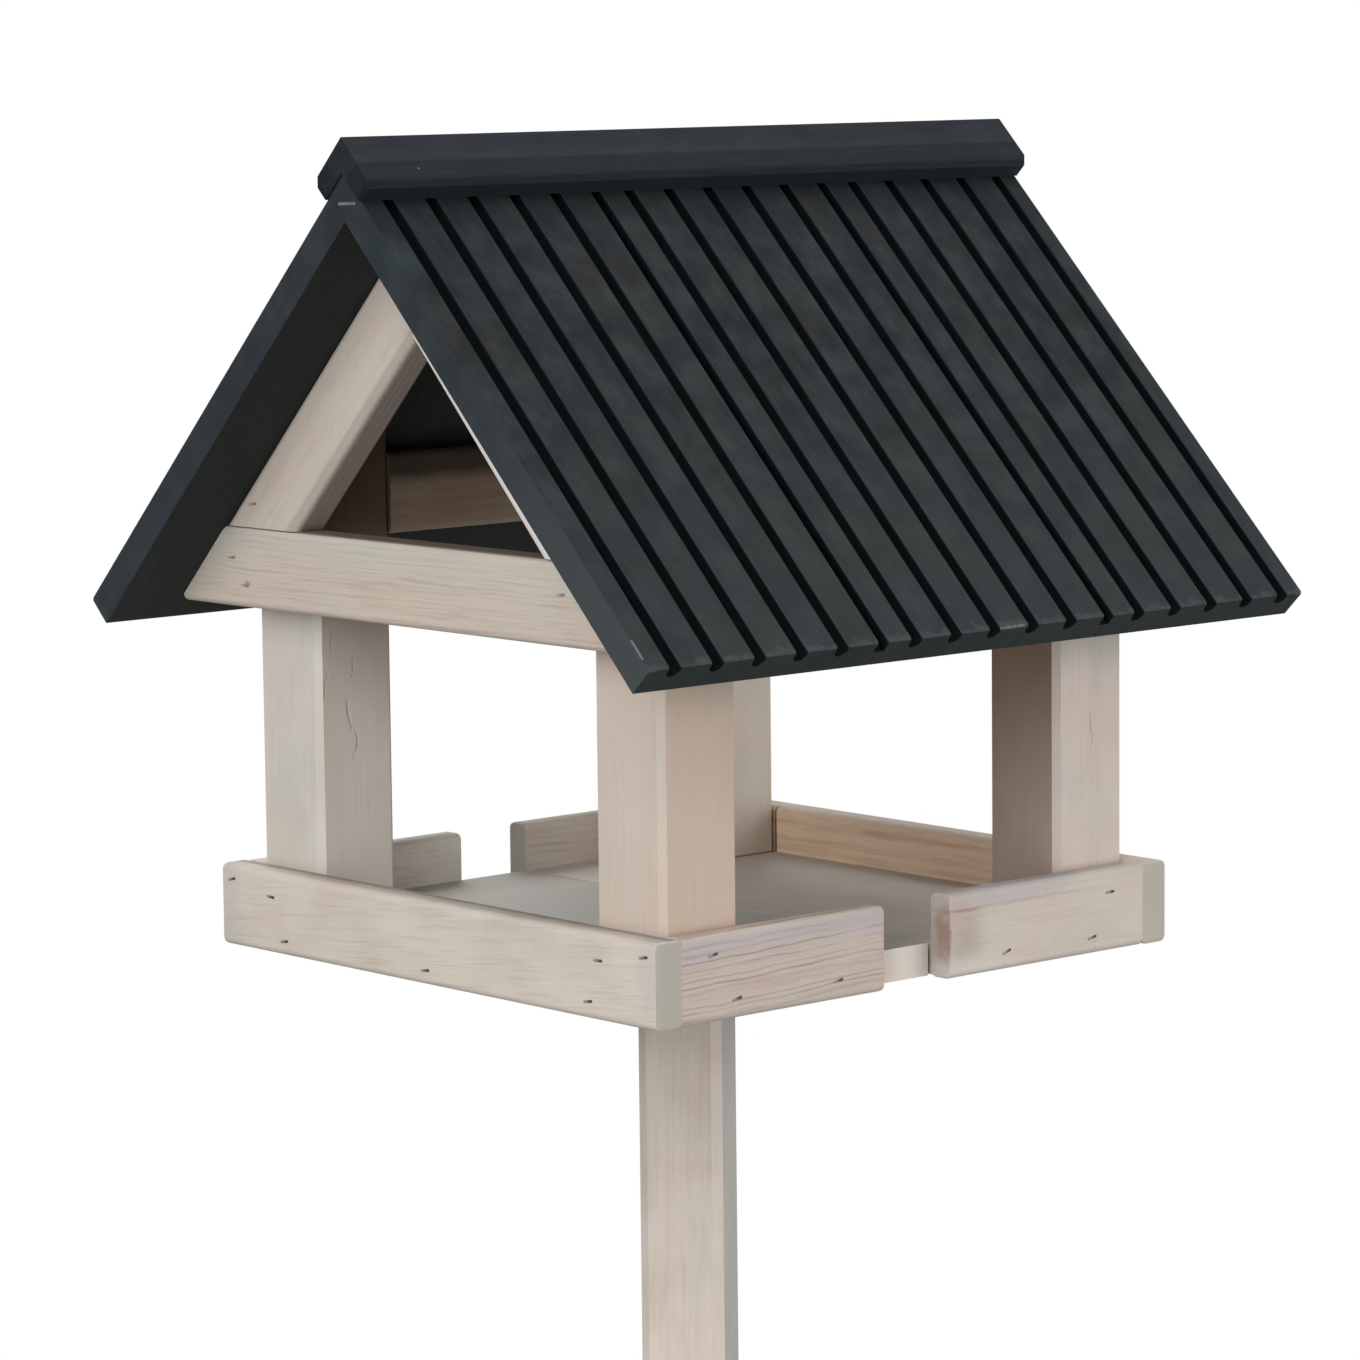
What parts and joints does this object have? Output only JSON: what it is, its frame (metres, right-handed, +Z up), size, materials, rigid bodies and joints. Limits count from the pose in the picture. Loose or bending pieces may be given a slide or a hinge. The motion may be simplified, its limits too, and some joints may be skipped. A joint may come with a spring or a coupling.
{
  "type": "bird feeder",
  "caption": "Roofed bird table with a steep grooved roof over an open feeding tray with low rim boards, on a square pole with a braced cross foot.",
  "frame": {"origin": "middle of the cross foot's underside, on the ground, straight below the pole; the tray and roof stand 4 and 7 mm off it towards +X", "axes": "+Z up, X along the ridge, the front eave faces -Y"},
  "size_m": [0.4442, 0.4442, 1.3316],
  "materials": {
    "tray_boards": "whitewashed pine, matt",
    "floor": "greyed whitewashed pine, matt",
    "posts": "whitewashed pine, matt",
    "frame_boards": "whitewashed pine, matt",
    "roof": "dark grey wood stain, matt",
    "ridge_cap": "dark grey wood stain, matt",
    "stand": "whitewashed pine, matt"
  },
  "bodies": {
    "root": {"floor_board_left": "floor", "floor_board_right": "floor", "gable_board_left": "tray_boards", "gable_board_right": "tray_boards", "front_board_left": "tray_boards", "front_board_right": "tray_boards", "back_board_left": "tray_boards", "back_board_right": "tray_boards", "post_front_left": "posts", "post_front_right": "posts", "post_back_left": "posts", "post_back_right": "posts", "tie_left": "frame_boards", "tie_right": "frame_boards", "rafter_front_left": "frame_boards", "rafter_back_left": "frame_boards", "rafter_front_right": "frame_boards", "rafter_back_right": "frame_boards", "eave_beam_front": "frame_boards", "eave_beam_back": "frame_boards", "roof_front_left": "roof", "roof_front_middle": "roof", "roof_front_right": "roof", "roof_back_left": "roof", "roof_back_middle": "roof", "roof_back_right": "roof", "ridge_cap_front": "ridge_cap", "ridge_cap_back": "ridge_cap", "pole": "stand", "foot_lower": "stand", "foot_upper": "stand", "brace_1": "stand", "brace_2": "stand", "brace_3": "stand", "brace_4": "stand"}
  },
  "joints": []
}
